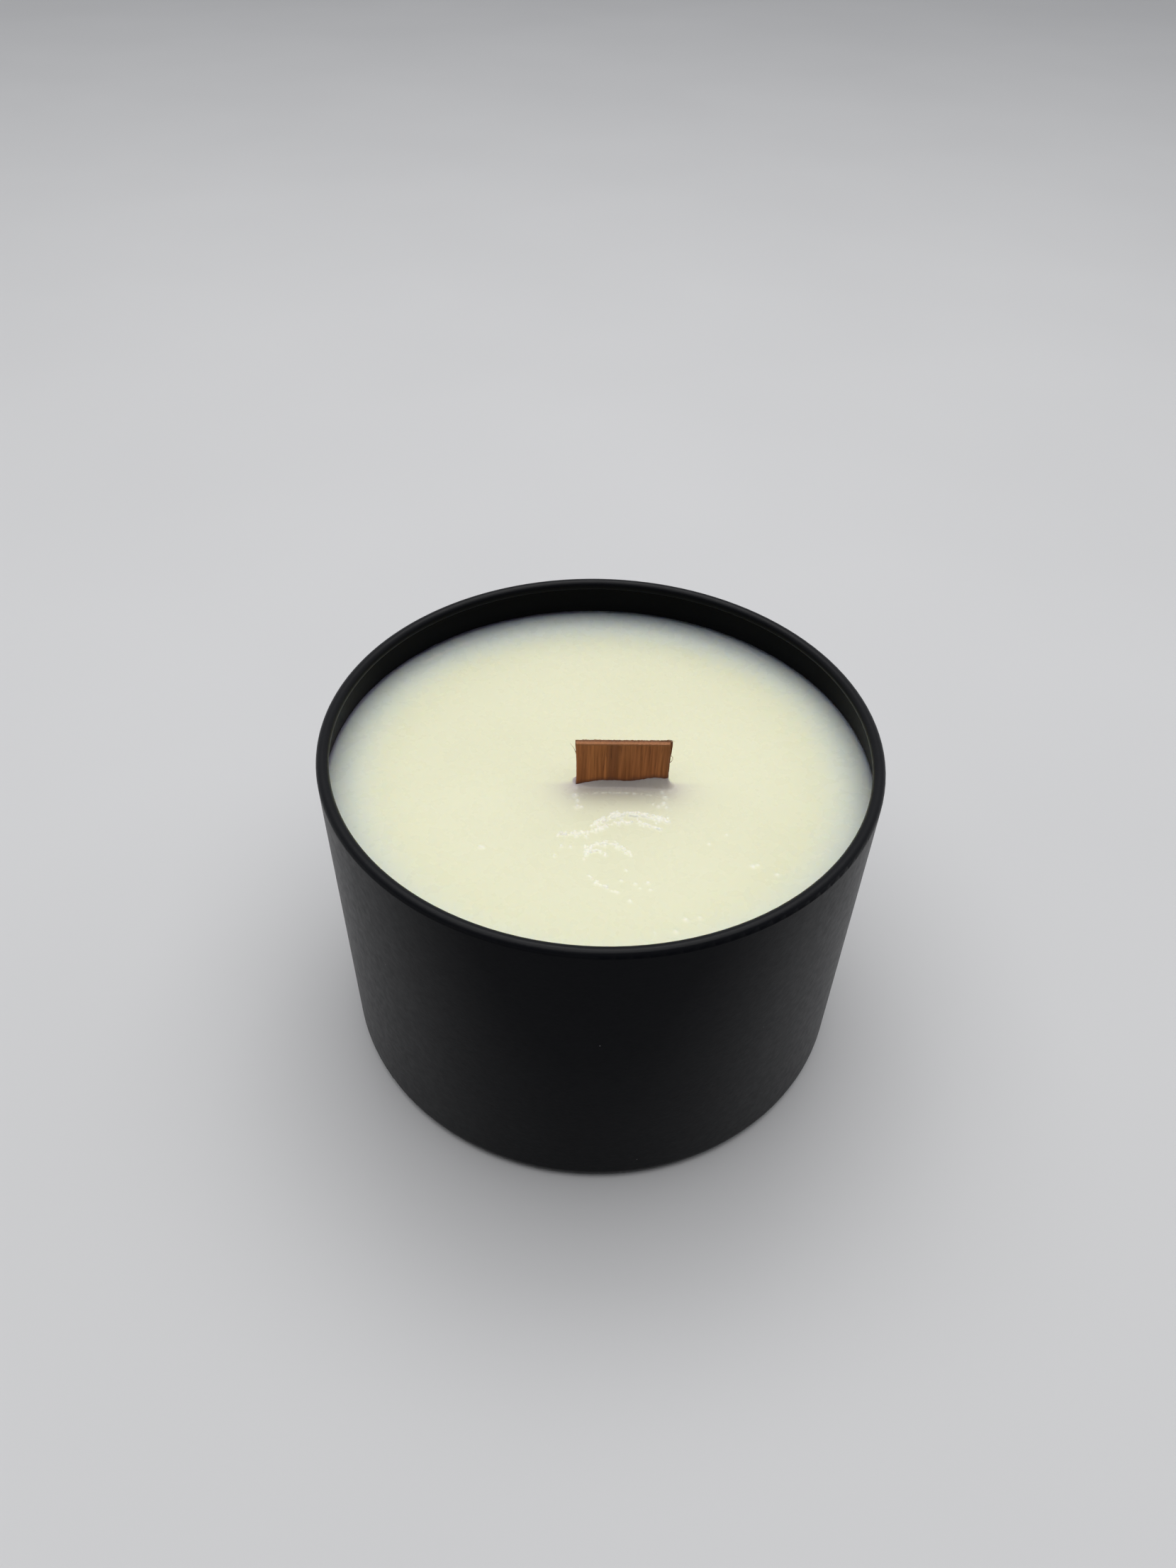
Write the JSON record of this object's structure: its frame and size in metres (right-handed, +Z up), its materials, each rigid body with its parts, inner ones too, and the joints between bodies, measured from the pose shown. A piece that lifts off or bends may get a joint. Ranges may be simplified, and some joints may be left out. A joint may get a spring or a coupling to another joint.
{
  "type": "candle tin",
  "caption": "Round drawn tin with a rolled rim, filled with poured wax, with a flat two-ply wooden wick standing in it and no lid.",
  "frame": {"origin": "centre of the ring that the tin stands on, at floor level, on the tin's axis", "axes": "+Z up along the tin's axis; +X to the right across the wick's width; +Y away from the wick's front face"},
  "size_m": [0.077, 0.077, 0.0522],
  "materials": {
    "tin": "satin black enamel",
    "wax": "smooth, slightly translucent cream wax",
    "wick_wood": "bare sawn veneer, waxed",
    "clip_steel": "plain tinplate",
    "sticker_foam": "white closed-cell foam"
  },
  "bodies": {
    "root": {"tin_body": "tin", "wax_fill": "wax", "wick_front_ply": "wick_wood", "wick_back_ply": "wick_wood", "wick_clip": "clip_steel", "wick_sticker": "sticker_foam"}
  },
  "joints": []
}
